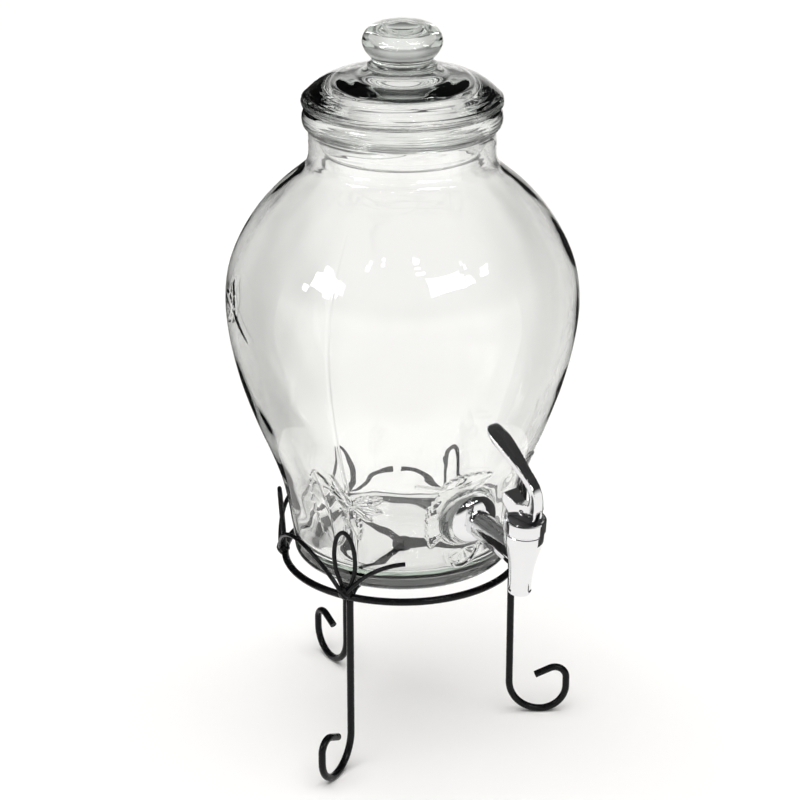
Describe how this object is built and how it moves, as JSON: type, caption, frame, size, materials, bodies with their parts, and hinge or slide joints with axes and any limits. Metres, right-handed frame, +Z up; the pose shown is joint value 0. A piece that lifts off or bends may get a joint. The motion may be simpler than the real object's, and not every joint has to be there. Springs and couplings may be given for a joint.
{
  "type": "beverage dispenser",
  "caption": "Glass ginger-jar drinks dispenser with a domed glass lid and a lever tap that closes itself, standing in a wire stand with scrolled feet and loop-and-leaf trim.",
  "frame": {"origin": "on the jar's axis at floor level, in the middle of the feet", "axes": "+Z up along the jar's axis; the tap points towards -Y; +X to the right seen from the tap's side"},
  "size_m": [0.235, 0.2776, 0.5024],
  "materials": {
    "jar_glass": "clear pressed glass",
    "lid_glass": "clear pressed glass",
    "clear_silicone": "translucent soft",
    "black_wire": "gloss black enamel",
    "tap_chrome": "mirror chrome",
    "plain_steel": "plain",
    "stem_steel": "polished",
    "washer_silicone": "soft matte",
    "nut_plastic": "moulded",
    "dark_nylon": "moulded"
  },
  "bodies": {
    "stand": {"support_ring": "black_wire", "leg_1": "black_wire", "leg_2": "black_wire", "leg_3": "black_wire", "centre_weld": "black_wire", "loop_1": "black_wire", "loop_2": "black_wire", "loop_3": "black_wire", "loop_4": "black_wire", "loop_5": "black_wire", "leaf_1_left": "black_wire", "leaf_2_left": "black_wire", "leaf_3_left": "black_wire", "leaf_4_left": "black_wire", "leaf_5_left": "black_wire", "leaf_1_right": "black_wire", "leaf_2_right": "black_wire", "leaf_3_right": "black_wire", "leaf_4_right": "black_wire", "leaf_5_right": "black_wire", "joint_weld_1": "black_wire", "joint_weld_2": "black_wire", "joint_weld_3": "black_wire", "joint_weld_4": "black_wire", "joint_weld_5": "black_wire"},
    "jar": {"glass_jar": "jar_glass", "outer_washer": "washer_silicone", "escutcheon": "tap_chrome", "inner_washer": "washer_silicone", "backing_washer": "plain_steel", "shank_nut": "nut_plastic", "tap_body": "tap_chrome", "bonnet": "tap_chrome", "return_spring": "plain_steel"},
    "lid": {"glass_lid": "lid_glass", "lid_seal": "clear_silicone"},
    "glide": {"glide_disc": "dark_nylon"},
    "stem": {"stem": "stem_steel", "seat_cup": "washer_silicone"},
    "lever": {"lever": "tap_chrome", "lever_pin": "stem_steel"}
  },
  "joints": [
    {"name": "jar_lift", "type": "slide", "parent": "stand", "child": "jar", "axis": [0, 0, 1], "range_m": [0, 0.08]},
    {"name": "lid_lift", "type": "slide", "parent": "jar", "child": "lid", "axis": [0, 0, 1], "range_m": [0, 0.06]},
    {"name": "lever_swivel", "type": "hinge", "parent": "jar", "child": "glide", "pos_m": [0, -0.14483, 0.20879], "axis": [0, -0.0872, 0.9962], "range_deg": [-110, 110]},
    {"name": "stem_lift", "type": "slide", "parent": "glide", "child": "stem", "axis": [0, -0.0872, 0.9962], "range_m": [0, 0.0039], "deforming": ["return_spring"]},
    {"name": "lever_pull", "type": "hinge", "parent": "stem", "child": "lever", "pos_m": [0, -0.14543, 0.21566], "axis": [0.9903, 0.1386, 0.0121], "range_deg": [0, 50], "stiffness_Nm_per_rad": 0.0074, "springref_deg": -133.5}
  ],
  "couplings": [
    {"joint": "stem_lift", "follows": "lever_pull", "m_per_rad": 0.0043}
  ]
}
